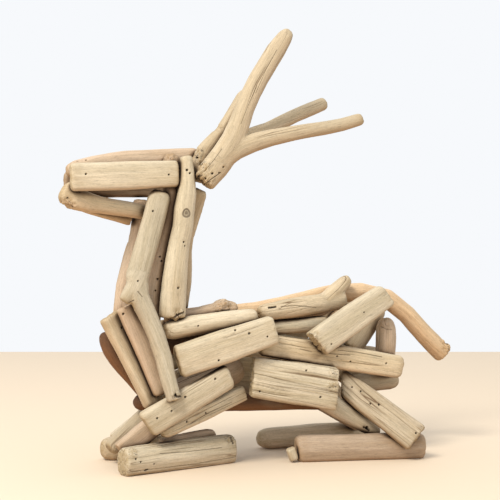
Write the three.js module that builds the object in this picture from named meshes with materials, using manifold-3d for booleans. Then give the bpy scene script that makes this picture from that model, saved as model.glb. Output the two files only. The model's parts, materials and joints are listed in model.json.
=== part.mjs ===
// A resting deer put together from worn driftwood sticks and slats.
// Millimetres. +X runs from the nose to the tail, -Y is the near flank, +Z is up,
// and the four feet rest on z = 0. A point is written [x, y, z].

import * as THREE from "three";
import { mergeVertices } from "three/addons/utils/BufferGeometryUtils.js";
import Module from "manifold-3d";

const wasm = await Module();
wasm.setup();

// Driving dimensions.
const BACK_HEIGHT = 99;
const HIP_HEIGHT = 111.5;
const CROWN_HEIGHT = 201;
const SLAT_THICKNESS = 8;
const BOARD_THICKNESS = 9;
const FOOT_HEIGHT = 16.6;
const HIND_FOOT_HEIGHT = 15.4;
const CLEARANCE = 0.3;
const GROUND = { width: 600, depth: 40 };

// How the sticks are put on: each is pushed from outside until it meets the wood behind it.
// A move is the share of a step taken by [the first end, the last end].
const START_DISTANCE = 34;
const FARTHEST = 26;
const COARSE_STEP = 2;
const FINE_STEP = 0.2;
const STEEPEST_LEAN = 0.16;
const MOVES = [[1, 1], [1, 0], [0, 1]];
const PRESS_ANGLE = THREE.MathUtils.degToRad(22);
const INWARD = new THREE.Vector3(Math.sin(PRESS_ANGLE), Math.cos(PRESS_ANGLE), 0);
const OUTWARD = INWARD.clone().negate();
const NEAR_FACE = new THREE.Vector3(0, -1, 0);
const FAR_FACE = new THREE.Vector3(0, 1, 0);
const UP = new THREE.Vector3(0, 0, 1);
const HEADWARD = new THREE.Vector3(-1, 0, 0);
const TAILWARD = new THREE.Vector3(1, 0, 0);
const FAR_PRESS = new THREE.Vector3(0, -1, 0);

// Bare wood in six tones: [colour, roughness].
const WOODS = {
  bleached: [0xdcc7a1, 0.86],
  pale: [0xd2bb94, 0.84],
  pink: [0xccae8f, 0.82],
  warm: [0xc79d69, 0.78],
  grey: [0xb5a58a, 0.9],
  bark: [0x75593f, 0.92],
};

// How the last few millimetres of a stick close: [distance in half thicknesses, share of full size].
const ENDS = {
  cut: [[0, 0.94], [0.16, 1]],
  worn: [[0, 0.82], [0.4, 1]],
  dome: [[0, 0.42], [0.3, 0.8], [1, 1]],
  taper: [[0, 0.45], [0.9, 0.78], [3.2, 1]],
};

const ROUND = { power: 2, sides: 10 };
const OVAL = { power: 2.6, sides: 10 };
const FLAT = { power: 5, sides: 12 };

// A fixed number between 0 and 1 for a name, so that every stick has its own small waves.
function seedOf(name) {
  let seed = 7;
  for (const letter of name) {
    seed = (seed * 31 + letter.charCodeAt(0)) % 1009;
  }
  return seed / 1009;
}

// A value from a short list of sizes at even stations, read at a share 0 to 1 of the length.
function sizeAt(sizes, share) {
  const list = Array.isArray(sizes) ? sizes : [sizes, sizes];
  const place = THREE.MathUtils.clamp(share, 0, 1) * (list.length - 1);
  const low = Math.min(Math.floor(place), list.length - 2);
  return THREE.MathUtils.lerp(list[low], list[low + 1], place - low);
}

// One limb: a cylinder whose rings are laid along a curved line and given the limb's section.
function limbGeometry(limb, frame, grow) {
  const toLocal = frame.clone().invert();
  const points = limb.line.map(([x, y, z]) => new THREE.Vector3(x, y, z).applyMatrix4(toLocal));
  const curve = new THREE.CatmullRomCurve3(points, false, "centripetal");
  const length = curve.getLength();
  const halfThick = sizeAt(limb.thickness, 0.5) / 2;
  const section = limb.section ?? FLAT;
  const [startEnd, finishEnd] = (limb.ends ?? ["worn", "worn"]).map((kind) => ENDS[kind]);
  const slants = limb.slants ?? [0, 0];
  const inner = limb.rings ?? (limb.line.length > 2 ? limb.line.length + 1 : 1);
  const reachOf = (end) => end.at(-1)[0] * halfThick;
  const stations = startEnd.map(([along, scale]) => ({ along: along * halfThick, scale }));
  const free = length - reachOf(startEnd) - reachOf(finishEnd);
  for (let i = 1; i <= inner; i += 1) {
    stations.push({ along: reachOf(startEnd) + (free * i) / (inner + 1), scale: 1 });
  }
  for (const [along, scale] of [...finishEnd].reverse()) {
    stations.push({ along: length - along * halfThick, scale });
  }
  const phase = seedOf(limb.name) * Math.PI * 2;
  const wave = limb.wave ?? 0.035;
  const tube = new THREE.CylinderGeometry(1, 1, 1, section.sides, stations.length - 1);
  tube.deleteAttribute("uv");
  tube.deleteAttribute("normal");
  const ring = mergeVertices(tube);
  const place = ring.attributes.position;
  const outward = new THREE.Vector3(0, 0, 1);
  const roll = THREE.MathUtils.degToRad(limb.roll ?? 0);
  for (let i = 0; i < place.count; i += 1) {
    const index = Math.round((place.getY(i) + 0.5) * (stations.length - 1));
    const radial = Math.hypot(place.getX(i), place.getZ(i)) > 0.5 ? 1 : 0;
    const angle = Math.atan2(place.getZ(i), place.getX(i));
    const { along, scale } = stations[index];
    const share = along / length;
    const spot = curve.getPointAt(THREE.MathUtils.clamp(share, 0, 1));
    const tangent = curve.getTangentAt(THREE.MathUtils.clamp(share, 0, 1));
    const thickAxis = outward.clone().addScaledVector(tangent, -outward.dot(tangent)).normalize();
    thickAxis.applyAxisAngle(tangent, roll);
    const wideAxis = tangent.clone().cross(thickAxis);
    const swell = 1 + wave * Math.sin(phase + share * 7.5) + wave * 0.6 * Math.sin(2 * angle + phase);
    const squash = 2 / section.power;
    const wide = Math.sign(Math.cos(angle)) * Math.abs(Math.cos(angle)) ** squash;
    const thick = Math.sign(Math.sin(angle)) * Math.abs(Math.sin(angle)) ** squash;
    const halfWidth = sizeAt(limb.width, share) / 2 + grow;
    const halfDepth = sizeAt(limb.thickness, share) / 2 + grow;
    const sideways = radial * wide * halfWidth * scale * swell;
    spot.addScaledVector(wideAxis, sideways);
    spot.addScaledVector(thickAxis, radial * thick * halfDepth * scale * swell);
    const nearStart = Math.max(0, 1 - along / (halfWidth * 2.2));
    const nearFinish = Math.max(0, 1 - (length - along) / (halfWidth * 2.2));
    const slide = sideways * (slants[0] * nearStart + slants[1] * nearFinish);
    const stretch = index === 0 ? -grow : index === stations.length - 1 ? grow : 0;
    spot.addScaledVector(tangent, slide + stretch);
    place.setXYZ(i, spot.x, spot.y, spot.z);
  }
  return ring;
}

function solidOf(geometry, matrix) {
  const place = geometry.attributes.position;
  const vertex = new THREE.Vector3();
  const vertProperties = new Float32Array(place.count * 3);
  for (let i = 0; i < place.count; i += 1) {
    vertex.fromBufferAttribute(place, i).applyMatrix4(matrix);
    vertex.toArray(vertProperties, i * 3);
  }
  const triVerts = new Uint32Array(geometry.index.array);
  return new wasm.Manifold(new wasm.Mesh({ numProp: 3, vertProperties, triVerts }));
}

function geometryOf(solid) {
  const mesh = solid.getMesh();
  const geometry = new THREE.BufferGeometry();
  geometry.setAttribute("position", new THREE.BufferAttribute(new Float32Array(mesh.vertProperties), 3));
  geometry.setIndex(new THREE.BufferAttribute(new Uint32Array(mesh.triVerts), 1));
  return geometry;
}

// The whole stick: its first limb, with any side branches joined on.
function stickGeometry(stick, frame, grow) {
  const shapes = stick.limbs.map((limb) => limbGeometry(limb, frame, grow));
  if (shapes.length === 1) {
    return shapes[0];
  }
  const home = new THREE.Matrix4();
  let joined = solidOf(shapes[0], home);
  for (const shape of shapes.slice(1)) {
    joined = joined.add(solidOf(shape, home));
  }
  return geometryOf(joined);
}

// A frame at the middle of the stick: x along it, z out of its broad face.
function frameBetween(start, finish, face) {
  const along = finish.clone().sub(start).normalize();
  const out = face.clone().addScaledVector(along, -face.dot(along)).normalize();
  const wide = out.clone().cross(along);
  const middle = start.clone().add(finish).multiplyScalar(0.5);
  return new THREE.Matrix4().makeBasis(along, wide, out).setPosition(middle);
}

const placed = [];

function meetsPlacedWood(geometry, matrix) {
  const box = new THREE.Box3().setFromBufferAttribute(geometry.attributes.position).applyMatrix4(matrix);
  const near = placed.filter((other) => other.box.intersectsBox(box));
  if (near.length === 0) {
    return false;
  }
  const solid = solidOf(geometry, matrix);
  const meets = near.some((other) => {
    const shared = solid.intersect(other.solid);
    const empty = shared.isEmpty();
    shared.delete();
    return !empty;
  });
  solid.delete();
  return meets;
}

// Pushes a stick along its press direction, then lets each end go on alone until it too is stopped.
function settle(stick, geometry, face) {
  const line = stick.limbs[0].line;
  const first = new THREE.Vector3(...line[0]);
  const last = new THREE.Vector3(...line.at(-1));
  const length = first.distanceTo(last);
  const matrixAt = ([startPush, finishPush]) => {
    const start = first.clone().addScaledVector(stick.press, startPush);
    const finish = last.clone().addScaledVector(stick.press, finishPush);
    return frameBetween(start, finish, face);
  };
  let pushes = [-START_DISTANCE, -START_DISTANCE];
  const free = (next) => !meetsPlacedWood(geometry, matrixAt(next));
  const lean = (stick.lean ?? STEEPEST_LEAN) * length;
  for (let step = COARSE_STEP; step >= FINE_STEP; step /= 2) {
    let moved = true;
    while (moved && pushes[0] < FARTHEST) {
      moved = false;
      for (const [startShare, finishShare] of MOVES) {
        const next = [pushes[0] + step * startShare, pushes[1] + step * finishShare];
        if (Math.abs(next[0] - next[1]) <= lean && free(next)) {
          pushes = next;
          moved = true;
          break;
        }
      }
    }
  }
  if (pushes[0] >= FARTHEST) {
    throw new Error(`${stick.name} meets no wood behind it`);
  }
  return matrixAt(pushes);
}

// What lies below the table top is cut away, which gives a foot its flat underside.
function flattenUnderside(geometry, matrix) {
  const ground = new THREE.BoxGeometry(GROUND.width, GROUND.width, GROUND.depth);
  ground.deleteAttribute("uv");
  ground.deleteAttribute("normal");
  const below = new THREE.Matrix4().makeTranslation(0, 0, -GROUND.depth / 2);
  const trimmed = solidOf(geometry, matrix).subtract(solidOf(mergeVertices(ground), below));
  return geometryOf(trimmed).applyMatrix4(matrix.clone().invert());
}

const deer = new THREE.Group();

function addStick(stick) {
  const limbs = stick.limbs ?? [stick];
  const whole = { ...stick, limbs: limbs.map((limb) => ({ name: stick.name, ...limb })) };
  const face = whole.face ?? NEAR_FACE;
  const line = whole.limbs[0].line;
  const drawn = frameBetween(new THREE.Vector3(...line[0]), new THREE.Vector3(...line.at(-1)), face);
  const matrix = whole.press ? settle(whole, stickGeometry(whole, drawn, CLEARANCE), face) : drawn;
  let geometry = stickGeometry(whole, drawn, 0);
  if (whole.flatUnderside) {
    geometry = flattenUnderside(geometry, matrix);
  }
  const [color, roughness] = WOODS[whole.wood ?? "bleached"];
  const mesh = new THREE.Mesh(geometry, new THREE.MeshStandardMaterial({ color, roughness, metalness: 0 }));
  mesh.name = whole.name;
  mesh.applyMatrix4(matrix);
  deer.add(mesh);
  const box = new THREE.Box3().setFromBufferAttribute(geometry.attributes.position).applyMatrix4(matrix);
  placed.push({ solid: solidOf(geometry, matrix), box });
}

// The back: one long branch that runs over the hips and droops into the tail.
function addBack() {
  addStick({
    name: "spine_and_tail",
    wood: "warm",
    section: ROUND,
    line: [
      [-60, 0, BACK_HEIGHT - 2.5],
      [-52, 0, BACK_HEIGHT - 2],
      [2, 0, BACK_HEIGHT],
      [36, 0, HIP_HEIGHT - 7],
      [63, 0, HIP_HEIGHT - 1.5],
      [86, 0, HIP_HEIGHT - 0.5],
      [101, 0, HIP_HEIGHT - 4],
      [115, 0, 98.5],
      [131, 0, 82.5],
      [149.5, 0, 65.5],
    ],
    width: [9, 11, 11.5, 12, 13, 13, 13, 13.5, 13.5, 14],
    thickness: [9, 11, 11, 12, 12, 12, 12, 12.5, 12.5, 12.5],
    ends: ["worn", "cut"],
    rings: 10,
  });
}

// The core of the body, seen through the gaps between the outer slats.
function addInnerBody() {
  addStick({
    name: "inner_shoulder_stick",
    wood: "bark",
    section: ROUND,
    line: [[-77, -3, 75.5], [-20, -3, 84]],
    width: 13,
    thickness: 13,
    press: UP,
    lean: 0.12,
  });
  addStick({
    name: "belly_stick",
    wood: "bark",
    section: ROUND,
    line: [[-77, 9, 41], [-10, 9, 37.5], [60, 9, 35]],
    width: 9.5,
    thickness: 9.5,
    ends: ["dome", "dome"],
  });
  addStick({
    name: "inner_elbow_stick",
    wood: "pink",
    section: OVAL,
    line: [[-60, -6, 44], [-34, -6, 53], [-9, -6, 62.5]],
    width: 17,
    thickness: 13,
    ends: ["cut", "dome"],
    press: INWARD,
  });
  addStick({
    name: "hip_peg",
    wood: "pink",
    section: ROUND,
    line: [[95.8, -13, 93], [95.8, -13, 75], [94.5, -13, 55]],
    width: 13.6,
    thickness: 13,
    ends: ["dome", "cut"],
  });
  addStick({
    name: "inner_hip_stick",
    wood: "grey",
    section: OVAL,
    line: [[77, 1, 65], [96.5, 1, 92.5]],
    width: 13,
    thickness: 10,
    press: UP,
    lean: 0,
  });
  addStick({
    name: "inner_rump_stick",
    wood: "grey",
    section: ROUND,
    line: [[70, -9, 40], [106, -9, 44.5]],
    width: 10.5,
    thickness: 10,
    ends: ["cut", "dome"],
    press: UP,
    lean: 0.1,
  });
}

// The head: a crown stick with a cheek slat on each side and the jaws below.
function addHead() {
  addStick({
    name: "crown_stick",
    wood: "pink",
    section: OVAL,
    line: [
      [-125, 0, 189.5],
      [-113, 0, 193],
      [-96, 0, 196.5],
      [-69, 0, 199.5],
      [-37.5, 0, CROWN_HEIGHT],
    ],
    width: [11, 12, 12, 12.5, 13.5],
    thickness: [10, 13, 14, 14, 13],
    ends: ["dome", "worn"],
  });
  addStick({
    name: "near_jaw_stick",
    wood: "pale",
    section: OVAL,
    line: [
      [-129.5, -7, 178.5],
      [-120, -7, 172.5],
      [-104, -5, 169],
      [-86, -5, 166.5],
      [-73, -5, 164.5],
    ],
    width: [14.5, 13, 10.5, 9.5, 8.5],
    thickness: [11, 10, 9.5, 9, 8],
    ends: ["dome", "dome"],
  });
  addStick({
    name: "far_jaw_slat",
    wood: "warm",
    line: [
      [-126, 7, 176],
      [-107, 7.5, 170],
      [-79.5, 8, 162.5],
    ],
    width: [11, 13.5, 13.5],
    thickness: 7.5,
    ends: ["worn", "cut"],
    press: OUTWARD,
    face: FAR_FACE,
  });
}

// The neck: a fan of sticks from the throat to the nape, fixed to the shoulders and the head.
function addNeck() {
  addStick({
    name: "middle_neck_stick",
    wood: "pink",
    section: ROUND,
    line: [
      [-58, -9, 201],
      [-58.5, -9, 173],
      [-62, -9, 150],
      [-65.5, -9, 134],
      [-68.5, -9, 119],
      [-71, -9, 104],
      [-73, -9, 88],
    ],
    width: 9,
    thickness: 9,
    ends: ["dome", "cut"],
    press: INWARD,
  });
  addStick({
    name: "far_nape_slat",
    wood: "pale",
    line: [
      [-33.5, 6, 180],
      [-39, 7, 166],
      [-45.5, 8, 149],
      [-47, 9, 137],
      [-46.5, 10, 124],
      [-49, 11, 99],
    ],
    width: [9, 13, 14.5, 15, 14.5, 14],
    thickness: 9,
    ends: ["worn", "worn"],
    press: OUTWARD,
    face: FAR_FACE,
  });
}

// The two antlers: each a forked twig, the near one overlapping the far one at the root.
function addAntlers() {
  addStick({
    name: "far_antler",
    wood: "pale",
    press: INWARD,
    lean: 0.03,
    limbs: [
      {
        section: OVAL,
        line: [
          [-38.5, -12.5, 184.5],
          [-37.5, -12, 193.5],
          [-34, -11.5, 203],
          [-27.5, -11, 211.5],
          [-21.5, -10, 219.5],
          [-14.5, -9, 230.5],
          [-5.5, -8, 245],
        ],
        width: [13, 17, 15.5, 10.5, 9.5, 9.5, 9],
        thickness: [11, 11, 11, 10, 9.5, 9, 8],
        ends: ["cut", "dome"],
        rings: 6,
      },
      {
        section: OVAL,
        line: [
          [-24, -10, 220.5],
          [-12.5, -6, 214.5],
          [8, -2, 219.5],
          [30, 2, 229.5],
          [58, 6, 241.5],
        ],
        width: [10, 10, 9.5, 9, 8.5],
        thickness: [9, 9, 9, 8.5, 8],
        ends: ["worn", "worn"],
      },
    ],
  });
  addStick({
    name: "near_antler",
    wood: "pale",
    press: INWARD,
    lean: 0.05,
    limbs: [
      {
        section: OVAL,
        line: [
          [-41, -21, 183.5],
          [-29, -22, 198],
          [-20.5, -23, 212],
          [-14.5, -24, 229.5],
          [-7, -25, 246.5],
          [3.5, -26, 264],
          [10, -27, 275],
          [17, -28, 284.5],
        ],
        width: [15, 16, 15, 12, 12, 12, 12, 8],
        thickness: [11, 12, 12, 11, 11, 10, 9, 7],
        ends: ["cut", "dome"],
      },
      {
        section: OVAL,
        line: [
          [-31, -22, 196],
          [-17.5, -24, 205.5],
          [0, -26, 212.5],
          [24, -28, 218],
          [52.5, -29.5, 224],
          [68.5, -31, 229],
        ],
        width: [12, 11.5, 10.5, 9.5, 8.5, 7.5],
        thickness: [10, 10, 9, 8.5, 8, 7],
        ends: ["worn", "worn"],
      },
    ],
  });
}

// The two sticks along the withers, which the nape slat covers at their front ends.
function addWithers() {
  addStick({
    name: "burr_stick",
    wood: "pink",
    press: INWARD,
    limbs: [
      {
        section: ROUND,
        line: [[-56, -11, 96], [-36, -11, 100], [-15, -11, 101.5]],
        width: [9, 9, 10],
        thickness: 8,
        ends: ["worn", "worn"],
      },
      {
        section: ROUND,
        line: [[-33, -11, 100], [-24, -11, 101.5], [-15, -11, 99.5]],
        width: [9, 13, 11],
        thickness: [9, 12, 10],
        ends: ["dome", "worn"],
        rings: 2,
      },
    ],
  });
  addStick({
    name: "withers_stick",
    wood: "bleached",
    section: OVAL,
    line: [[-65, -18, 89], [-52, -18, 91.5], [-31, -18, 94], [-4, -18, 96]],
    width: [10.5, 11.5, 12, 11],
    thickness: 10,
    ends: ["dome", "worn"],
    press: INWARD,
  });
}

// The breast: slats that fan down from the throat to the elbow.
function addChest() {
  addStick({
    name: "far_chest_slat",
    wood: "pale",
    line: [[-89, 12, 99], [-66.5, 12, 44]],
    width: 14,
    thickness: SLAT_THICKNESS,
    roll: 25,
    press: OUTWARD,
    lean: 0.3,
    face: FAR_FACE,
  });
  addStick({
    name: "far_chest_stick",
    wood: "bark",
    section: ROUND,
    line: [
      [-102, -2, 87.5],
      [-98.6, -2, 79],
      [-94.3, -2, 72],
      [-84, -2, 58.5],
      [-75, -2, 47],
    ],
    width: [9, 11, 11, 10, 8],
    rings: 5,
    thickness: [9, 10.5, 10.5, 10, 8],
    ends: ["dome", "cut"],
    press: INWARD,
  });
  addStick({
    name: "lower_chest_slat",
    wood: "pale",
    line: [[-98, -8, 99.5], [-69, -10, 43]],
    width: 17,
    thickness: 7,
    roll: -28,
    ends: ["cut", "worn"],
    press: INWARD,
  });
  addStick({
    name: "upper_chest_slat",
    wood: "pink",
    line: [[-89.5, -15, 105.5], [-78, -16, 77], [-68, -18, 49]],
    width: [14, 12.5, 9],
    thickness: 6,
    roll: -8,
    ends: ["cut", "worn"],
    press: INWARD,
  });
}

// The outer sticks of the throat and nape go on over the neck's core and the breast.
function addOuterNeck() {
  addStick({
    name: "near_throat_fork",
    wood: "bleached",
    press: INWARD,
    limbs: [
      {
        section: OVAL,
        line: [
          [-68.5, -18, 178.5],
          [-72, -19, 165],
          [-76, -20, 153],
          [-82, -22, 133],
          [-86, -23, 117],
          [-81, -24, 104],
          [-75, -25, 91],
          [-70, -26, 77],
          [-66.5, -27, 62],
          [-62, -28, 46.5],
        ],
        width: [14, 14.5, 14.5, 14, 14, 11, 10.5, 10, 9.5, 9],
        thickness: [10, 11, 11, 11, 11, 9, 8, 8, 7.5, 7],
        ends: ["dome", "cut"],
        rings: 9,
      },
      {
        section: OVAL,
        line: [[-84, -22, 124], [-88, -23, 116], [-93.5, -23, 108]],
        width: [9, 9, 7.5],
        thickness: [8, 8, 6],
        ends: ["worn", "worn"],
        rings: 1,
      },
    ],
  });
  addStick({
    name: "far_throat_stick",
    wood: "pink",
    section: ROUND,
    line: [
      [-74.5, 5, 173],
      [-75.5, 5, 158],
      [-78, 5, 142],
      [-82.5, 5, 129],
      [-86, 5, 113],
      [-87, 5, 97],
    ],
    width: [10, 11.5, 12, 12, 12, 12],
    thickness: 11,
    ends: ["worn", "cut"],
    press: OUTWARD,
    face: FAR_FACE,
  });
  addStick({
    name: "far_throat_sliver",
    wood: "warm",
    section: OVAL,
    line: [[-78, 15, 147], [-85, 15, 114], [-88, 15, 90]],
    width: [7, 8, 8],
    thickness: 7,
    ends: ["taper", "cut"],
    press: OUTWARD,
    face: FAR_FACE,
  });
  addStick({
    name: "near_nape_slat",
    wood: "bleached",
    section: OVAL,
    line: [
      [-51, -17, 200],
      [-50, -17, 180.5],
      [-52.5, -17, 163],
      [-53, -17, 155],
      [-56.5, -17, 138],
      [-59, -17, 117],
      [-60, -17, 98],
    ],
    width: [6.5, 9, 11.5, 12, 14, 15.5, 15.5],
    thickness: [10, 12, 12, 12, 12, 12, 10],
    ends: ["cut", "cut"],
    press: INWARD,
  });
  addStick({
    name: "near_cheek_slat",
    wood: "bleached",
    line: [[-124.5, -13, 185.5], [-55.5, -14, 189]],
    width: 17.5,
    thickness: SLAT_THICKNESS,
    press: INWARD,
  });
  addStick({
    name: "far_cheek_slat",
    wood: "pink",
    line: [[-122, 14, 182], [-55.5, 14, 184]],
    width: 17,
    thickness: SLAT_THICKNESS,
    press: OUTWARD,
    face: FAR_FACE,
  });
}

// The near flank, laid from the inner sticks out to the haunch.
function addNearFlank() {
  addStick({
    name: "loin_fork",
    wood: "pale",
    press: INWARD,
    limbs: [
      {
        section: OVAL,
        line: [[-0.5, -12, 98.5], [24, -12, 101.5], [45, -12, 104], [66, -12, 106.5]],
        width: [11.5, 12.5, 13.5, 13],
        thickness: 10,
        ends: ["dome", "worn"],
      },
      {
        section: OVAL,
        line: [[50, -12, 106], [60, -12, 113], [70, -12, 121.5]],
        width: [10, 10.5, 8.5],
        thickness: [9, 9, 7],
        ends: ["worn", "dome"],
        rings: 1,
      },
    ],
  });
  addStick({
    name: "loin_stick",
    wood: "bleached",
    section: OVAL,
    line: [[4.5, -13, 87.5], [50, -13, 87.5]],
    width: 10,
    thickness: 9,
    press: UP,
    lean: 0.05,
  });
  addStick({
    name: "flank_slat",
    wood: "pale",
    line: [[0, -20, 78.5], [103, -22, 60]],
    width: [15, 16.5, 16],
    thickness: SLAT_THICKNESS,
    ends: ["worn", "dome"],
    press: INWARD,
  });
  addStick({
    name: "haunch_slat",
    wood: "bleached",
    line: [[35.5, -26, 78], [91.5, -24, 110.5]],
    width: [20, 19.5, 18],
    thickness: BOARD_THICKNESS,
    ends: ["cut", "worn"],
    slants: [0.25, 0.2],
    press: INWARD,
  });
  addStick({
    name: "belly_slat",
    wood: "bleached",
    line: [[-8.5, -27, 58], [49.5, -27, 48.5]],
    width: [27, 28, 28],
    thickness: BOARD_THICKNESS,
    ends: ["cut", "cut"],
    slants: [0.11, 0.1],
    press: INWARD,
  });
  addStick({
    name: "inner_thigh_slat",
    wood: "pale",
    line: [[52, -4, 66], [84, -4, 45]],
    width: 12,
    thickness: 8,
    press: OUTWARD,
  });
}

// The near foreleg, folded under the breast: a shin stick, two slats and the foot.
function addNearForeleg() {
  addStick({
    name: "near_knee_slat",
    wood: "pink",
    line: [[-92, -9, 12], [-63, -9, 33]],
    width: [13, 14, 14],
    thickness: SLAT_THICKNESS,
    ends: ["cut", "cut"],
  });
  addStick({
    name: "lower_foreleg_slat",
    wood: "bleached",
    line: [[-71, -20, 24], [-11, -20, 47]],
    width: [10, 11, 10.5],
    thickness: SLAT_THICKNESS,
    ends: ["dome", "cut"],
    press: INWARD,
  });
  addStick({
    name: "upper_foreleg_slat",
    wood: "bleached",
    line: [[-80, -25, 31], [-24.5, -25, 60]],
    width: [17, 17, 15.5],
    thickness: BOARD_THICKNESS,
    slants: [0.12, -0.1],
    press: INWARD,
  });
  addStick({
    name: "near_front_foot",
    wood: "bleached",
    section: OVAL,
    line: [[-95.5, -22, FOOT_HEIGHT / 2], [-14.5, -5, FOOT_HEIGHT / 2]],
    width: [19, 20, 20.4],
    thickness: 15,
    ends: ["cut", "cut"],
    press: INWARD,
    flatUnderside: true,
  });
  addStick({
    name: "near_wrist_stick",
    wood: "pink",
    section: OVAL,
    line: [[-62, 5, 12.5], [-22, 6, 17]],
    width: 10,
    thickness: 10,
    ends: ["cut", "dome"],
    press: OUTWARD,
    face: FAR_FACE,
  });
}

// The near hind leg: a smooth thigh stick, a cracked shank and the foot with its chip.
function addNearHindleg() {
  addStick({
    name: "near_thigh_stick",
    wood: "bleached",
    section: OVAL,
    line: [[38, -19.7, 45], [62, -19.5, 30], [85, -22, 15.5]],
    width: [13, 13.5, 7],
    thickness: [10, 10, 6],
    ends: ["worn", "worn"],
  });
  addStick({
    name: "near_hind_foot",
    wood: "pink",
    section: OVAL,
    line: [[26, -19, HIND_FOOT_HEIGHT / 2], [112, -35, HIND_FOOT_HEIGHT / 2]],
    width: [18.2, 18.6, 17.6],
    thickness: 15,
    ends: ["worn", "worn"],
    slants: [0.1, 0],
    press: INWARD,
    flatUnderside: true,
  });
  addStick({
    name: "near_shank_slat",
    wood: "grey",
    line: [[59, -20, 50.4], [76, -31, 36.3], [100.5, -47, 15]],
    width: [15, 17.5, 18],
    rings: 2,
    slants: [0.66, 0],
    thickness: SLAT_THICKNESS,
    ends: ["worn", "cut"],
    press: INWARD,
    lean: 0.1,
  });
  addStick({
    name: "hind_foot_chip",
    wood: "bleached",
    line: [[20, -22, 10], [23, -22, 1.5]],
    width: 6,
    thickness: 5,
    rings: 1,
    press: TAILWARD,
    lean: 0,
  });
}

// The outermost slat of the near shoulder.
function addNearShoulder() {
  addStick({
    name: "shoulder_slat",
    wood: "bleached",
    line: [[-60, -28, 70], [5.5, -28, 89]],
    width: [20.5, 22, 18],
    thickness: BOARD_THICKNESS,
    press: INWARD,
  });
}

// The far side repeats the near one more plainly. Each row is one stick:
// name, wood, section, line, width, thickness.
function addFarSticks(rows, press) {
  for (const [name, wood, section, line, width, thickness] of rows) {
    addStick({ name, wood, section, line, width, thickness, press, face: FAR_FACE });
  }
}

function addFarFlank() {
  addFarSticks([
    ["far_withers_stick", "pale", OVAL, [[-62, 18, 88], [0, 18, 95]], 11.5, 10],
    ["far_loin_stick", "pink", OVAL, [[4, 16, 94], [62, 16, 101]], 12, 10],
    ["far_flank_slat", "bleached", FLAT, [[-4, 20, 78], [100, 20, 62]], 16, 8],
    ["far_hip_stick", "pink", OVAL, [[72, 16, 96], [98, 16, 58]], 12, 11],
    ["far_haunch_slat", "pale", FLAT, [[34, 24, 80], [90, 24, 106]], 19, 9],
  ], FAR_PRESS);
}

// The far foreleg, with the round shin that shows in front of its foot.
function addFarForeleg() {
  addStick({
    name: "far_shin_stick",
    wood: "grey",
    section: ROUND,
    line: [[-91, 21, 9.5], [-54, 21, 41]],
    width: 11.5,
    thickness: 11.5,
    ends: ["worn", "cut"],
    press: OUTWARD,
    face: FAR_FACE,
  });
  addFarSticks([
    ["far_elbow_slat", "pale", FLAT, [[-48, 18, 52], [-8, 18, 64]], 16, 8],
    ["far_knee_slat", "bleached", FLAT, [[-88, 28, 14.5], [-60, 28, 33.5]], 9, 6],
    ["far_lower_foreleg_slat", "pink", FLAT, [[-52, 22, 25], [-8, 22, 42]], 13, 8],
    ["far_upper_foreleg_slat", "pale", FLAT, [[-58, 28, 44], [-20, 28, 60]], 16, 9],
  ], FAR_PRESS);
  addStick({
    name: "far_front_foot",
    wood: "pale",
    section: OVAL,
    line: [[-94, 33, 7.2], [-16, 30, 7.2]],
    width: 16,
    thickness: 15,
    ends: ["dome", "worn"],
    press: FAR_PRESS,
    face: FAR_FACE,
    flatUnderside: true,
  });
}

function addFarHindleg() {
  addStick({
    name: "far_thigh_stick",
    wood: "pink",
    section: OVAL,
    line: [[45, 20, 43.5], [96, 25, 14]],
    width: [13, 11],
    thickness: 10,
    face: FAR_FACE,
  });
  addStick({
    name: "far_hind_foot",
    wood: "grey",
    section: OVAL,
    line: [[20, 37, 7], [106, 38, 7]],
    width: [14.5, 16, 16],
    thickness: 15,
    ends: ["dome", "worn"],
    press: FAR_PRESS,
    face: FAR_FACE,
    flatUnderside: true,
  });
  addFarSticks([
    ["far_shank_slat", "grey", FLAT, [[60, 28, 52], [104, 42, 16]], 14, 8],
  ], FAR_PRESS);
}

function addFarCovers() {
  addFarSticks([
    ["far_belly_slat", "bleached", FLAT, [[-8, 27, 56], [50, 27, 48]], 26, 9],
    ["far_shoulder_slat", "bleached", FLAT, [[-60, 27, 67], [4, 27, 87]], 21, 9],
  ], FAR_PRESS);
}

addBack();
addInnerBody();
addHead();
addNeck();
addAntlers();
addWithers();
addChest();
addNearForeleg();
addOuterNeck();
addNearFlank();
addNearHindleg();
addNearShoulder();
addFarForeleg();
addFarFlank();
addFarHindleg();
addFarCovers();

// The deer stands with the middle of its footprint on the origin.
const middle = new THREE.Box3().setFromObject(deer, true).getCenter(new THREE.Vector3());
for (const mesh of deer.children) {
  mesh.position.x -= middle.x;
  mesh.position.y -= middle.y;
}

export default deer;
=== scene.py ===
# A resting deer figurine made of driftwood sticks and slats, with its stage.
# Lengths are in metres. -X is the nose, -Y the near flank and +Z up.

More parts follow.
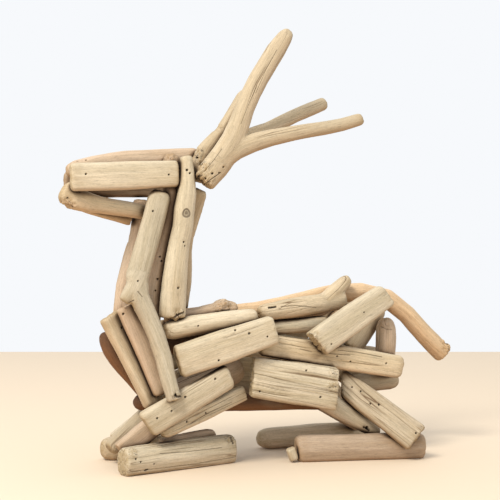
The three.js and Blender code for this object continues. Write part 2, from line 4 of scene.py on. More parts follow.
import json
import math
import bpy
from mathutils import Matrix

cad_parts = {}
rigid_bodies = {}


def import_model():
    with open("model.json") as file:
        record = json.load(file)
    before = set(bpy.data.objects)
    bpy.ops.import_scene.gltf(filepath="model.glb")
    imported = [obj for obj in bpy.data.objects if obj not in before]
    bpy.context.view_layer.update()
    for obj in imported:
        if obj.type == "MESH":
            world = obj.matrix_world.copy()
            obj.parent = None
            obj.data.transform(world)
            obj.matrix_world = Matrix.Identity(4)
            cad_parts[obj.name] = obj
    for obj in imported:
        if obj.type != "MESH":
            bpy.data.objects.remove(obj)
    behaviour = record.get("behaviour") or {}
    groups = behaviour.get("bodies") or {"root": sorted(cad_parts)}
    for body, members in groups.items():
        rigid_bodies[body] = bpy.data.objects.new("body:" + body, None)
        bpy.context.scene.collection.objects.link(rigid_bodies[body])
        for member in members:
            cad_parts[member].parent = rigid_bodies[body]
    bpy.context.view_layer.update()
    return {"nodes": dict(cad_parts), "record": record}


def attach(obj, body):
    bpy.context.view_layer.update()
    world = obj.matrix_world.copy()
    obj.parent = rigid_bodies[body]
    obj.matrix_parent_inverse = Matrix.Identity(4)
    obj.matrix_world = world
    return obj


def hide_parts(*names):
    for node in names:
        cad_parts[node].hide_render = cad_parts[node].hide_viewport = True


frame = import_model()

import bmesh
import bpy
import numpy as np
from mathutils import Vector
from mathutils.bvhtree import BVHTree

bl_info = {
    "name": "Driftwood deer",
    "version": (1, 0, 0),
    "blender": (4, 5, 0),
    "location": "3D View > Sidebar > Deer",
    "description": "Gives the deer's solid sticks their worn driftwood surface and sets up the stage",
    "category": "Object",
}

MM = 0.001
# The picture's side in points, and the width of the camera's sensor in millimetres.
PHOTO_SIDE = 500.0
SENSOR_WIDTH = 36.0
MATH, VECTOR_MATH = "ShaderNodeMath", "ShaderNodeVectorMath"
MIX, NOISE = "ShaderNodeMix", "ShaderNodeTexNoise"
# A colour mix's inputs: how much of the second colour it takes, and the two colours.
SHARE, FROM, TO = 0, 6, 7

# Points on a stick's middle line, which is found from slices this long in metres.
LINE_POINTS = 28
SLICE_LENGTH = 0.012
# How far the line is drawn out past the middle of its last slice, in slices.
END_STRETCH = 0.6
# Slanting directions, to find the sideways ones of a stick and of a surface from.
SKEW_TO_STICK = [0.13, 0.97, 0.2]
SKEW_TO_FACE = [0.31, 0.2, 0.93]
# Metres between the patterns of two limbs of a fork.
LIMB_SHIFT = 0.31
# A stick's number from 0 to 1 times this moves its patterns, so that no two sticks look alike.
SEED_SHIFT = (3.1, 1.7, 2.3)
# The sticks that are mostly hidden have a coarser mesh by this factor.
HIDDEN_CELLS = 1.25
# How squarely a surface faces along the grain where it starts to count as a cut end, and how much more than
# that where it counts fully.
END_FACING, END_BLEND = 0.55, 0.3
# Rays that look for a neighbour: one straight out and three that lean aside, and how much each counts.
LEAN_OUT, LEAN_ASIDE = 0.62, 0.78
LEAN_WAYS = ((1, 0), (-0.5, 0.87), (-0.5, -0.87))
RAY_WEIGHTS = (0.34, 0.22, 0.22, 0.22)
# Metres between the low and high of the knobs in rough wood.
KNOB_HEIGHT = 0.008

# How each kind of stick is worn: rounds of smoothing, then in millimetres how far the wood is let out
# again and how deep its waves, fibres, splits and ragged ends are.
STICK_KINDS = {
    "branch": {"rounds": 9, "swell": 0.35, "wave": 0.6, "fibre": 0.14, "split": 0.4, "ragged": 0.5},
    "slat": {"rounds": 2, "swell": 0.1, "wave": 0.35, "fibre": 0.2, "split": 0.5, "ragged": 0.9},
    "cracked": {"rounds": 2, "swell": 0.1, "wave": 0.45, "fibre": 0.45, "split": 0.8, "ragged": 2.0},
    "burr": {"rounds": 6, "swell": 0.3, "wave": 1.3, "fibre": 0.6, "split": 0.9, "ragged": 1.2},
}

# The sticks by body part: (kind, share of cracks, lightness). The sticks inside the body and the far cheek
# slat are given a low lightness as painted shade, and the far hind foot a high one as painted light.
BODY_PARTS = {
    "back": {
        "spine_and_tail": ("branch", 0.15, 1.06),
        "burr_stick": ("burr", 0.5, 0.98),
        "withers_stick": ("branch", 0.5, 1.16),
    },
    "core": {
        "inner_shoulder_stick": ("branch", 0.3, 0.7),
        "belly_stick": ("branch", 0.3, 1.0),
        "inner_elbow_stick": ("branch", 0.3, 0.9),
        "hip_peg": ("branch", 0.5, 0.9),
        "inner_hip_stick": ("branch", 0.3, 0.9),
        "inner_rump_stick": ("branch", 0.4, 0.9),
        "inner_thigh_slat": ("slat", 0.3, 0.95),
    },
    "head": {
        "crown_stick": ("branch", 0.2, 1.0),
        "near_jaw_stick": ("branch", 0.1, 1.24),
        "far_jaw_slat": ("slat", 0.2, 0.95),
        "near_cheek_slat": ("slat", 0.12, 1.06),
        "far_cheek_slat": ("slat", 0.3, 0.7),
    },
    "antlers": {"far_antler": ("branch", 0.3, 0.98), "near_antler": ("branch", 0.3, 1.0)},
    "neck": {
        "middle_neck_stick": ("branch", 0.35, 0.88),
        "far_nape_slat": ("slat", 0.15, 1.0),
        "near_nape_slat": ("branch", 0.1, 1.03),
        "near_throat_fork": ("branch", 0.12, 0.83),
        "far_throat_stick": ("branch", 0.35, 1.0),
        "far_throat_sliver": ("branch", 0.3, 0.9),
    },
    "chest": {
        "far_chest_slat": ("slat", 0.3, 0.9),
        "far_chest_stick": ("branch", 0.35, 1.0),
        "lower_chest_slat": ("slat", 0.2, 1.1),
        "upper_chest_slat": ("slat", 0.2, 1.08),
    },
    "flank": {
        "loin_fork": ("branch", 0.45, 1.06),
        "loin_stick": ("branch", 0.5, 1.04),
        "flank_slat": ("slat", 0.6, 1.22),
        "haunch_slat": ("slat", 0.15, 1.05),
        "belly_slat": ("cracked", 1.0, 1.0),
        "shoulder_slat": ("slat", 0.15, 1.02),
    },
    "legs": {
        "near_knee_slat": ("slat", 0.15, 1.0),
        "lower_foreleg_slat": ("slat", 0.6, 1.2),
        "upper_foreleg_slat": ("slat", 0.25, 1.0),
        "near_front_foot": ("branch", 0.8, 0.99),
        "near_wrist_stick": ("branch", 0.3, 0.98),
        "near_thigh_stick": ("branch", 0.15, 1.02),
        "near_hind_foot": ("branch", 0.25, 0.8),
        "near_shank_slat": ("cracked", 1.0, 0.94),
        "hind_foot_chip": ("slat", 0.3, 1.0),
    },
    "far_side": {
        "far_shin_stick": ("branch", 0.3, 0.9),
        "far_elbow_slat": ("slat", 0.3, 0.95),
        "far_knee_slat": ("slat", 0.3, 0.95),
        "far_lower_foreleg_slat": ("slat", 0.3, 1.0),
        "far_upper_foreleg_slat": ("slat", 0.3, 1.0),
        "far_front_foot": ("branch", 0.4, 1.0),
        "far_withers_stick": ("branch", 0.3, 1.0),
        "far_loin_stick": ("branch", 0.3, 1.0),
        "far_flank_slat": ("slat", 0.4, 1.0),
        "far_hip_stick": ("branch", 0.3, 1.0),
        "far_haunch_slat": ("slat", 0.2, 1.0),
        "far_thigh_stick": ("branch", 0.3, 0.95),
        "far_hind_foot": ("branch", 0.3, 1.22),
        "far_shank_slat": ("cracked", 0.8, 1.0),
        "far_belly_slat": ("cracked", 0.8, 1.0),
        "far_shoulder_slat": ("slat", 0.2, 1.0),
    },
}

# The middle lines of the forked sticks' limbs in millimetres, which the grain follows.
FORKS = {
    "near_antler": [
        [(-52, -24, 183), (-40, -24, 198), (-31, -24, 212), (-25, -24, 229), (-18, -25, 246), (6, -25, 284)],
        [(-42, -24, 196), (-28, -25, 206), (-11, -26, 212), (13, -27, 218), (57, -29, 229)],
    ],
    "far_antler": [
        [(-49, -12, 184), (-45, -12, 203), (-32, -10, 219), (-25, -9, 230), (-16, -9, 245)],
        [(-35, -10, 217), (-23, -6, 214), (-3, -2, 219), (19, 2, 229), (47, 6, 241)],
    ],
    "near_throat_fork": [
        [(-79, -16, 179), (-87, -19, 153), (-97, -24, 117), (-92, -26, 104), (-81, -29, 77), (-73, -33, 46)],
        [(-95, -24, 124), (-99, -25, 116), (-104, -25, 108)],
    ],
    "loin_fork": [
        [(-12, -13, 98), (13, -13, 101), (34, -13, 104), (55, -13, 106)],
        [(39, -13, 106), (49, -12, 113), (59, -10, 121)],
    ],
}

# Insect and pin holes as they lie in the picture: (across, down, width in millimetres).
HOLES = [
    (86, 174, 1.6), (169, 174.6, 1.5), (77.5, 161, 1.6), (86, 160, 1.6), (67.5, 198, 1.6),
    (153, 211, 1.6), (138, 281, 1.4), (176, 396, 2.0), (184, 242, 1.6), (185, 246, 1.3),
    (178.6, 288, 2.0), (160, 256.6, 1.6), (161.5, 261, 1.6), (157.6, 279, 1.8), (155.4, 290.5, 1.4),
    (123.3, 314, 1.9), (122, 327.6, 2.2), (223.6, 167, 1.7), (212.5, 173.4, 1.9), (219.3, 172.7, 1.3),
    (187, 170, 2.0), (190, 173, 1.7), (198.4, 326, 1.5), (235.4, 330, 1.7), (249.5, 333.5, 2.0),
    (267.6, 336.6, 1.5), (219, 360.4, 1.7), (215.4, 379, 1.8), (185.5, 397, 1.8), (171.7, 411, 1.6),
    (157.4, 418.3, 1.6), (206, 413, 1.6), (187, 421.7, 1.6), (364.3, 312.4, 1.5), (331.6, 344.2, 1.6),
    (337.3, 356.3, 1.5), (350.5, 361.7, 1.6), (386.4, 363.5, 1.6), (306.4, 370.4, 1.6), (259.7, 391.2, 1.5),
    (320.6, 397.2, 1.8), (352, 387, 1.5), (360.6, 391.4, 1.6), (370.3, 403.5, 1.5), (379, 404.6, 1.8),
    (202, 181, 2.6), (205.5, 178.6, 1.7), (200.4, 176, 2.0), (204, 184, 1.6), (197, 158, 1.8),
    (201, 164, 2.2),
    (416, 433, 1.6), (367, 428, 3.0), (136, 459, 1.7), (141, 462, 1.5), (154.3, 464, 1.4),
    (146, 469.7, 1.4),
]

# Rough or rotten places as they lie in the picture: (across, down, radius in millimetres).
ROUGH_SPOTS = [
    (225, 309, 7), (197, 158, 7), (201, 168, 6), (203, 180, 6), (171, 157, 3), (133, 452, 3), (231, 440, 4),
    (334, 372, 3), (333, 385, 4), (318, 347, 5), (313, 337, 4), (178, 316, 4), (177, 396, 3), (67, 205, 5),
    (447, 346, 5),
]

# Sticks that are let out further than the rest to close the slits beside them, in millimetres.
WIDER = {
    "middle_neck_stick": 1.2, "near_nape_slat": 0.4, "far_nape_slat": 0.8, "upper_chest_slat": 0.4,
    "lower_chest_slat": 0.4, "inner_shoulder_stick": 1.6, "inner_elbow_stick": 1.6, "belly_stick": 1.0,
    "inner_hip_stick": 1.2, "inner_rump_stick": 1.2, "inner_thigh_slat": 1.0, "far_shoulder_slat": 1.0,
    "far_belly_slat": 1.0, "near_shank_slat": 0.8, "belly_slat": 0.3, "far_flank_slat": 1.0,
    "far_haunch_slat": 1.0, "withers_stick": 0.5,
}

# Marks cut into the wood as they lie in the picture: (line of points, width and depth in millimetres,
# darkness). A line is followed in steps of MARK_STEP picture points.
MARKS = [
    ([(269, 307.6), (272, 307.2), (276, 306.6)], 1.2, 1.1, 1.0),
    ([(281, 306.6), (296, 305.6), (316, 307.6)], 0.4, 0.4, 0.7),
    ([(275, 328.4), (293, 327.4), (311, 326)], 0.5, 0.5, 0.7),
    ([(174.6, 394.6), (177, 396.6), (180, 396)], 1.3, 1.0, 0.9),
    ([(173, 318), (176, 316.6), (179, 314.6)], 1.2, 0.9, 0.85),
    ([(180, 314.4), (183.6, 312.4)], 1.3, 1.0, 0.9),
    ([(205, 184), (213, 178), (221, 172.4)], 0.5, 0.6, 0.8),
    ([(204, 172), (214, 160), (222, 149)], 0.35, 0.3, 0.5),
    ([(256, 93), (266, 70), (277, 50)], 0.35, 0.3, 0.4),
    ([(241, 124), (248, 106), (257, 86)], 0.35, 0.3, 0.4),
    ([(138, 291.6), (140, 294), (142.4, 297)], 0.5, 0.4, 0.6),
    ([(128, 303), (131, 301.6), (134, 300.4)], 0.5, 0.4, 0.7),
    ([(144.6, 470.4), (147.6, 469.4)], 0.9, 0.6, 0.85),
    ([(160, 453.6), (185, 452), (205, 449.6), (222, 447.6)], 0.4, 0.4, 0.55),
    ([(231, 437), (233, 443)], 1.5, 0.8, 0.75),
    ([(364, 427), (369, 430)], 1.5, 1.2, 0.95),
    ([(381, 326.4), (386, 329), (392, 329.4)], 0.5, 0.4, 0.45),
    ([(318, 351), (334, 354), (350, 355)], 0.5, 0.4, 0.65),
    ([(338, 350), (356, 352), (382, 357)], 0.5, 0.4, 0.65),
    ([(300, 349), (312, 352)], 0.4, 0.3, 0.5),
    ([(157, 438), (175, 430), (196, 420)], 0.5, 0.5, 0.6),
    ([(190, 424), (210, 412), (232, 402)], 0.4, 0.4, 0.55),
]

MARK_STEP = 1.5

# Knots as they lie in the picture: (across, down, radius in picture points).
KNOTS = [(186.6, 213, 3.4)]
# A knot is cut as rings: (size as a share of its radius, width in millimetres, darkness). They are taller
# than wide, lean a little and are drawn with this many points.
KNOT_RINGS = [(1.0, 1.0, 0.75), (0.6, 1.6, 0.45), (0.2, 1.2, 0.75)]
KNOT_TALL, KNOT_LEAN, KNOT_DEPTH, KNOT_POINTS = 1.2, 0.12, 0.25, 16

# A split is sunk by the relief and darkened by the material, so both read these: (length, width in
# millimetres) of its winding line and of the stretches of wood that split, then how sharply those stretches
# end and how the share of cracks in a stick moves their limit.
SPLIT_LINE, SPLIT_STRETCH = (200, 4.5), (45, 12)
SPLIT_SHARP, SPLIT_GAIN, SPLIT_LIMIT = 7.0, 2.6, -5.2

# The relief's patterns: (length along the grain and width across it in millimetres, detail). Real fibres are
# finer than the mesh, so the raised ones are drawn 2.6 mm wide.
RELIEF_PATTERNS = {
    "wave": (26, 11, 1.0), "fibre": (50, 2.6, 2.0), "chip": (10, 3.5, 2.0), "knob": (4.5, 2.6, 2.0),
    "line": SPLIT_LINE + (0.0,), "stretch": SPLIT_STRETCH + (0.0,),
}

# The colour's patterns: (length along the grain and width across it in millimetres, detail, roughness). A
# point of the picture is about 0.7 mm of the deer, so fibres, pores and specks, which are finer in real wood,
# are drawn about that coarse.
COLOUR_PATTERNS = {
    "bands": (110, 5.5, 2.0, 0.5), "rings": (90, 2.1, 2.0, 0.5), "fibres": (14, 0.7, 2.0, 0.65),
    "specks": (1.3, 0.6, 1.0, 0.5), "pores": (4.5, 0.45, 0.0, 0.5), "patches": (40, 13, 2.0, 0.5),
    "mottle": (2.4, 1.2, 2.0, 0.6), "cut rings": (20, 1.3, 2.0, 0.7), "end blots": (7, 3, 3.0, 0.65),
    "cracked": (35, 8, 1.0, 0.5), "split": SPLIT_STRETCH + (0.0, 0.5), "crack line": (130, 3, 0.0, 0.5),
    "hair line": (60, 1.3, 0.0, 0.5), "split line": SPLIT_LINE + (0.0, 0.5),
}


def linear(code):
    """A colour written as an sRGB hex code, as linear red, green, blue and alpha."""
    parts = [int(code[i:i + 2], 16) / 255 for i in (1, 3, 5)]
    return [c / 12.92 if c <= 0.04045 else ((c + 0.055) / 1.055) ** 2.4 for c in parts] + [1.0]


def add(tree, kind, inputs=(), **settings):
    """Adds a node with its settings. Each input takes a value, a socket or a node's first output."""
    node = tree.nodes.new(kind)
    for name, value in settings.items():
        setattr(node, name, value)
    for key, value in inputs.items() if isinstance(inputs, dict) else enumerate(inputs):
        if isinstance(value, bpy.types.Node):
            value = next(socket for socket in value.outputs if socket.enabled)
        if isinstance(value, bpy.types.NodeSocket):
            tree.links.new(value, node.inputs[key])
        else:
            node.inputs[key].default_value = value
    return node


class WoodSettings(bpy.types.PropertyGroup):
    """Sizes of the driftwood surface."""

    cell: bpy.props.FloatProperty(
        name="Mesh cell", description="Edge of the fine surface mesh in millimetres", default=0.8)
    swell: bpy.props.FloatProperty(
        name="Swell", description="Factor on how far the wood is let out again after smoothing", default=1.0)
    hole_width: bpy.props.FloatProperty(
        name="Hole width", description="Factor on the width of the insect holes", default=0.72)
    hole_depth: bpy.props.FloatProperty(
        name="Hole depth", description="Depth of an insect hole in widths", default=1.3)
    ridge: bpy.props.FloatProperty(
        name="Ridge height", description="Factor on the height of fibres and splits", default=1.0)
    end_reach: bpy.props.FloatProperty(
        name="Brown end", description="How far from its end a stick is stained brown, in millimetres",
        default=9.0)
    # The joint shade is painted shade: wood that faces another stick within this reach is darkened.
    joint: bpy.props.FloatProperty(
        name="Joint shade", description="How far from its neighbour a stick is stained dark, in millimetres",
        default=13.0)


def colour_property(label, text, code):
    """A colour that the user can change, with its default as an sRGB hex code."""
    return bpy.props.FloatVectorProperty(
        name=label, description=text, default=linear(code)[:3], subtype="COLOR", size=3, min=0.0, max=1.0)


class ColourSettings(bpy.types.PropertyGroup):
    """Colours of the wood."""

    bleached_wood: colour_property("Bleached wood", "Wood that the sun has bleached", "#B7AB92")
    pale_wood: colour_property("Pale wood", "Wood that is worn and pale", "#B3A387")
    pink_wood: colour_property("Pink wood", "Wood with a pinkish tan", "#B49F86")
    warm_wood: colour_property("Warm wood", "Wood that is still honey brown", "#C0A582")
    grey_wood: colour_property("Grey wood", "Wood that has weathered grey", "#B0A187")
    bark_wood: colour_property("Bark wood", "Wood that still has its dark skin", "#5E432F")
    # The honey colour is painted shade: the material mixes it into the sides turned down.
    honey: colour_property("Honey side", "The side turned down, which the sun hasn't bleached", "#915C2E")
    # This colour darkens rotten spots, holes and marks, and also paints shade into the joints between sticks.
    stain: colour_property("Joint stain", "Dirt in the joints and splits", "#2C1A0E")
    weathered: colour_property("Weathered patch", "Grey patches and streaks", "#A59C86")
    hole: colour_property("Hole", "Inside of an insect hole", "#20150D")


class StageSettings(bpy.types.PropertyGroup):
    """The floor, lights and camera."""

    azimuth: bpy.props.FloatProperty(
        name="View azimuth", description="Turn of the view about the upright axis",
        default=math.radians(22.0), subtype="ANGLE")
    distance: bpy.props.FloatProperty(
        name="View distance", description="From the camera to the deer", default=0.8, unit="LENGTH")
    eye_height: bpy.props.FloatProperty(
        name="Eye height", description="Height of the camera", default=0.145, unit="LENGTH")
    aim_height: bpy.props.FloatProperty(
        name="Aim height", description="Height that the camera looks at", default=0.1403, unit="LENGTH")
    focus_px: bpy.props.FloatProperty(
        name="Focal length in pixels", description="Focal length in pixels of the picture", default=1194.0)
    floor_depth: bpy.props.FloatProperty(
        name="Floor depth", description="How far the floor reaches behind the deer", default=0.79,
        unit="LENGTH")
    floor_front: bpy.props.FloatProperty(
        name="Floor front", description="How far the floor reaches in front of the deer", default=1.5,
        unit="LENGTH")
    floor_side: bpy.props.FloatProperty(
        name="Floor side", description="How far the floor reaches to either side", default=3.0, unit="LENGTH")
    floor: colour_property("Floor", "Colour of the floor", "#DCCBB4")
    room: colour_property("Room", "Colour of the light from all around", "#F7F9FC")
    room_strength: bpy.props.FloatProperty(
        name="Room strength", description="Strength of the light from all around", default=1.0)
    window: colour_property("Window", "Colour of the window's light", "#FFF7EA")
    window_place: bpy.props.FloatVectorProperty(
        name="Window place", description="Where the window's light comes from", default=(-1.0, -0.75, 1.4),
        subtype="TRANSLATION", unit="LENGTH")
    window_size: bpy.props.FloatProperty(
        name="Window size", description="Side of the window", default=0.5, unit="LENGTH")
    window_power: bpy.props.FloatProperty(
        name="Window power", description="Power of the window's light in watts", default=30.0)
    lit_height: bpy.props.FloatProperty(
        name="Lit height", description="Height that the window's light is turned to", default=0.12,
        unit="LENGTH")


class DeerSettings(bpy.types.PropertyGroup):
    """All settings of the deer."""

    wood: bpy.props.PointerProperty(type=WoodSettings)
    colours: bpy.props.PointerProperty(type=ColourSettings)
    stage: bpy.props.PointerProperty(type=StageSettings)


# The picture's frame stood a little off the footprint's middle.
VIEW_OFFSET = Vector((-0.01108, 0.00029, 0.0))


def view_frame():
    """The camera's place and its forward, right and up directions."""
    stage = bpy.context.scene.deer.stage
    back = Vector((-math.sin(stage.azimuth), -math.cos(stage.azimuth), 0.0)) * stage.distance
    eye = VIEW_OFFSET + back + Vector((0, 0, stage.eye_height))
    forward = (VIEW_OFFSET + Vector((0, 0, stage.aim_height)) - eye).normalized()
    right = forward.cross(Vector((0, 0, 1))).normalized()
    return eye, forward, right, right.cross(forward)


def ray_through(across, down):
    """Start and direction of the ray through a point of the picture."""
    eye, forward, right, up = view_frame()
    half = PHOTO_SIDE / 2
    aim = forward * bpy.context.scene.deer.stage.focus_px + right * (across - half) + up * (half - down)
    return eye, aim.normalized()


def seed_of(name):
    """A fixed number from 0 to 1 for a name."""
    seed = 7
    for letter in name:
        seed = (seed * 31 + ord(letter)) % 1009
    return seed / 1009


def apply_modifiers(obj):
    """Makes the object's modifiers part of a plain mesh."""
    graph = bpy.context.evaluated_depsgraph_get()
    mesh = bpy.data.meshes.new_from_object(obj.evaluated_get(graph))
    old = obj.data
    obj.modifiers.clear()
    obj.data = mesh
    bpy.data.meshes.remove(old)


def coordinates(mesh):
    """The place of each vertex."""
    values = np.empty(len(mesh.vertices) * 3)
    mesh.vertices.foreach_get("co", values)
    return values.reshape(-1, 3)


def normals(mesh):
    """The direction out at each vertex."""
    values = np.empty(len(mesh.vertices) * 3)
    mesh.vertex_normals.foreach_get("vector", values)
    return values.reshape(-1, 3)


def store(mesh, name, values):
    """Keeps a number or a direction for each vertex under a name."""
    kind, field = ("FLOAT_VECTOR", "vector") if values.ndim == 2 else ("FLOAT", "value")
    attribute = mesh.attributes.get(name) or mesh.attributes.new(name, kind, "POINT")
    attribute.data.foreach_set(field, values.astype(np.float32).ravel())


def neighbour_mean(mesh, values, rounds):
    """Values averaged over each vertex's neighbours, as many times as asked."""
    edges = np.empty(len(mesh.edges) * 2, dtype=np.int64)
    mesh.edges.foreach_get("vertices", edges)
    a, b = edges.reshape(-1, 2).T
    count = np.bincount(a, minlength=len(values)) + np.bincount(b, minlength=len(values))
    count = np.maximum(count, 1)
    result = values
    for _ in range(rounds):
        flat = result.reshape(len(values), -1)
        total = np.empty_like(flat)
        for k in range(flat.shape[1]):
            column = flat[:, k]
            total[:, k] = np.bincount(a, weights=column[b], minlength=len(values))
            total[:, k] += np.bincount(b, weights=column[a], minlength=len(values))
        result = (total / count[:, None]).reshape(values.shape)
    return result


def resample(line, count):
    """A line at even steps."""
    steps = np.concatenate([[0], np.cumsum(np.linalg.norm(np.diff(line, axis=0), axis=1))])
    at = np.linspace(0, steps[-1], count)
    return np.stack([np.interp(at, steps, line[:, k]) for k in range(3)], axis=1)


def middle_line(points):
    """The line along the middle of a stick, from the centres of its slices."""
    centre = points.mean(axis=0)
    # Every seventh point is enough to show which way the stick runs.
    axis = np.linalg.svd(points[::7] - centre, full_matrices=False)[2][0]
    axis = axis * (1 if axis[0] + axis[2] * 0.3 >= 0 else -1)
    along = (points - centre) @ axis
    slices = max(3, int((along.max() - along.min()) / SLICE_LENGTH))
    edges = np.linspace(along.min(), along.max() + 1e-6, slices + 1)
    place = np.clip(np.searchsorted(edges, along, side="right") - 1, 0, slices - 1)
    line = np.array([points[place == k].mean(axis=0) for k in range(slices) if (place == k).any()])
    first = line[0] * (1 + END_STRETCH) - line[1] * END_STRETCH
    last = line[-1] * (1 + END_STRETCH) - line[-2] * END_STRETCH
    return resample(np.vstack([first, line[1:-1], last]), LINE_POINTS)


def grain_of(points, lines):
    """Each point's place in the straightened stick, and the direction of the grain there."""
    best = np.full(len(points), np.inf)
    grain = np.zeros_like(points)
    axis = np.zeros_like(points)
    for number, line in enumerate(lines):
        tangents = np.gradient(line, axis=0)
        tangents /= np.linalg.norm(tangents, axis=1)[:, None]
        side = np.cross(tangents[0], SKEW_TO_STICK)
        side /= np.linalg.norm(side)
        sides = []
        for tangent in tangents:
            side = side - tangent * (side @ tangent)
            side /= np.linalg.norm(side)
            sides.append(side)
        sides = np.array(sides)
        ups = np.cross(tangents, sides)
        lengths = np.concatenate([[0], np.cumsum(np.linalg.norm(np.diff(line, axis=0), axis=1))])
        near = np.zeros(len(points), dtype=int)
        share = np.zeros(len(points))
        reach = np.full(len(points), np.inf)
        for k in range(len(line) - 1):
            step = line[k + 1] - line[k]
            t = np.clip(((points - line[k]) @ step) / (step @ step), 0, 1)
            gap = np.linalg.norm(points - (line[k] + t[:, None] * step), axis=1)
            closer = gap < reach
            reach[closer] = gap[closer]
            near[closer] = k
            share[closer] = t[closer]
        blend = share[:, None]
        middle = line[near] * (1 - blend) + line[near + 1] * blend
        tangent = tangents[near] * (1 - blend) + tangents[near + 1] * blend
        off = points - middle
        y = (off * (sides[near] * (1 - blend) + sides[near + 1] * blend)).sum(axis=1)
        z = (off * (ups[near] * (1 - blend) + ups[near + 1] * blend)).sum(axis=1)
        x = lengths[near] * (1 - share) + lengths[near + 1] * share + (off * tangent).sum(axis=1)
        mine = reach < best
        best[mine] = reach[mine]
        grain[mine] = np.stack([x, y, z], axis=1)[mine] + number * LIMB_SHIFT
        axis[mine] = tangent[mine]
    return grain, axis


def relief_tree():
    """Geometry nodes that raise fibres, sink splits and break up the ends of a stick along its grain."""
    tree = bpy.data.node_groups.get("driftwood relief")
    if tree:
        return tree
    tree = bpy.data.node_groups.new("driftwood relief", "GeometryNodeTree")
    face = tree.interface
    face.new_socket(name="Geometry", in_out="INPUT", socket_type="NodeSocketGeometry")
    for name in ("Wave depth", "Fibre depth", "Split depth", "Ragged depth"):
        socket = face.new_socket(name=name, in_out="INPUT", socket_type="NodeSocketFloat")
        socket.subtype = "DISTANCE"
    face.new_socket(name="Split share", in_out="INPUT", socket_type="NodeSocketFloat")
    face.new_socket(name="Seed", in_out="INPUT", socket_type="NodeSocketVector")
    face.new_socket(name="Material", in_out="INPUT", socket_type="NodeSocketMaterial")
    face.new_socket(name="Geometry", in_out="OUTPUT", socket_type="NodeSocketGeometry")
    given = add(tree, "NodeGroupInput").outputs
    grain, axis, cut, rough = [
        add(tree, "GeometryNodeInputNamedAttribute", {"Name": name}, data_type=kind) for name, kind in (
            ("grain", "FLOAT_VECTOR"), ("axis", "FLOAT_VECTOR"), ("cut", "FLOAT"), ("rough", "FLOAT"))]
    place = add(tree, VECTOR_MATH, [grain, given["Seed"]], operation="ADD")

    pattern = {}
    for name, (length, width, detail) in RELIEF_PATTERNS.items():
        stretched = add(tree, VECTOR_MATH, [place, [1 / (size * MM) for size in (length, width, width)]],
                        operation="MULTIPLY")
        pattern[name] = add(tree, NOISE, {"Vector": stretched, "Scale": 1.0, "Detail": detail})
    # Each pattern is read as its difference from a middle value, which is higher for chips and knobs so that
    # they stand out in less of the wood.
    wave, fibre, chip, knob, off = [
        add(tree, MATH, [pattern[name], middle], operation="SUBTRACT") for name, middle in (
            ("wave", 0.5), ("fibre", 0.5), ("chip", 0.58), ("knob", 0.52), ("line", 0.5))]
    knobs = add(tree, MATH, [knob, rough], operation="MULTIPLY")
    # A split runs where a long, narrow pattern crosses its middle value, and only in a share of the wood.
    off = add(tree, MATH, [off], operation="ABSOLUTE")
    off = add(tree, MATH, [off, 22.0], operation="MULTIPLY")
    line = add(tree, MATH, [1.0, off], operation="SUBTRACT", use_clamp=True)
    rare = add(tree, MATH, [given["Split share"], SPLIT_GAIN, SPLIT_LIMIT], operation="MULTIPLY_ADD")
    where = add(tree, MATH, [pattern["stretch"], SPLIT_SHARP, rare], operation="MULTIPLY_ADD", use_clamp=True)
    split = add(tree, MATH, [line, where], operation="MULTIPLY")

    # The patterns swing half a unit either way, so the depths are doubled.
    wave_depth, fibre_depth, ragged_depth = [
        add(tree, MATH, [given[name], 2.0], operation="MULTIPLY")
        for name in ("Wave depth", "Fibre depth", "Ragged depth")]
    height = add(tree, MATH, [wave, wave_depth], operation="MULTIPLY")
    height = add(tree, MATH, [fibre, fibre_depth, height], operation="MULTIPLY_ADD")
    sunk = add(tree, MATH, [split, given["Split depth"]], operation="MULTIPLY")
    height = add(tree, MATH, [height, sunk], operation="SUBTRACT")
    height = add(tree, MATH, [knobs, KNOB_HEIGHT, height], operation="MULTIPLY_ADD")
    outward = add(tree, "GeometryNodeInputNormal")
    raised = add(tree, VECTOR_MATH, {"Vector": outward, "Scale": height}, operation="SCALE")
    ragged = add(tree, MATH, [chip, cut], operation="MULTIPLY")
    ragged = add(tree, MATH, [ragged, ragged_depth], operation="MULTIPLY")
    broken = add(tree, VECTOR_MATH, {"Vector": axis, "Scale": ragged}, operation="SCALE")
    offset = add(tree, VECTOR_MATH, [raised, broken], operation="ADD")
    worn = add(tree, "GeometryNodeSetPosition", {"Geometry": given["Geometry"], "Offset": offset})
    whole = add(tree, "GeometryNodeRealizeInstances", {"Geometry": worn})
    dressed = add(tree, "GeometryNodeSetMaterial", {"Geometry": whole, "Material": given["Material"]})
    add(tree, "NodeGroupOutput", {"Geometry": dressed})
    return tree


def set_inputs(modifier, values):
    """Sets a modifier's inputs by their names through their identifiers."""
    for item in modifier.node_group.interface.items_tree:
        if item.in_out == "INPUT" and item.name in values:
            modifier[item.identifier] = values[item.name]


def solid_faces():
    """The corners and triangles of each solid stick."""
    if not solid_faces.kept:
        for name, solid in frame["nodes"].items():
            solid.data.calc_loop_triangles()
            corners = [solid.matrix_world @ v.co for v in solid.data.vertices]
            solid_faces.kept[name] = corners, [tuple(t.vertices) for t in solid.data.loop_triangles]
    return solid_faces.kept


solid_faces.kept = {}


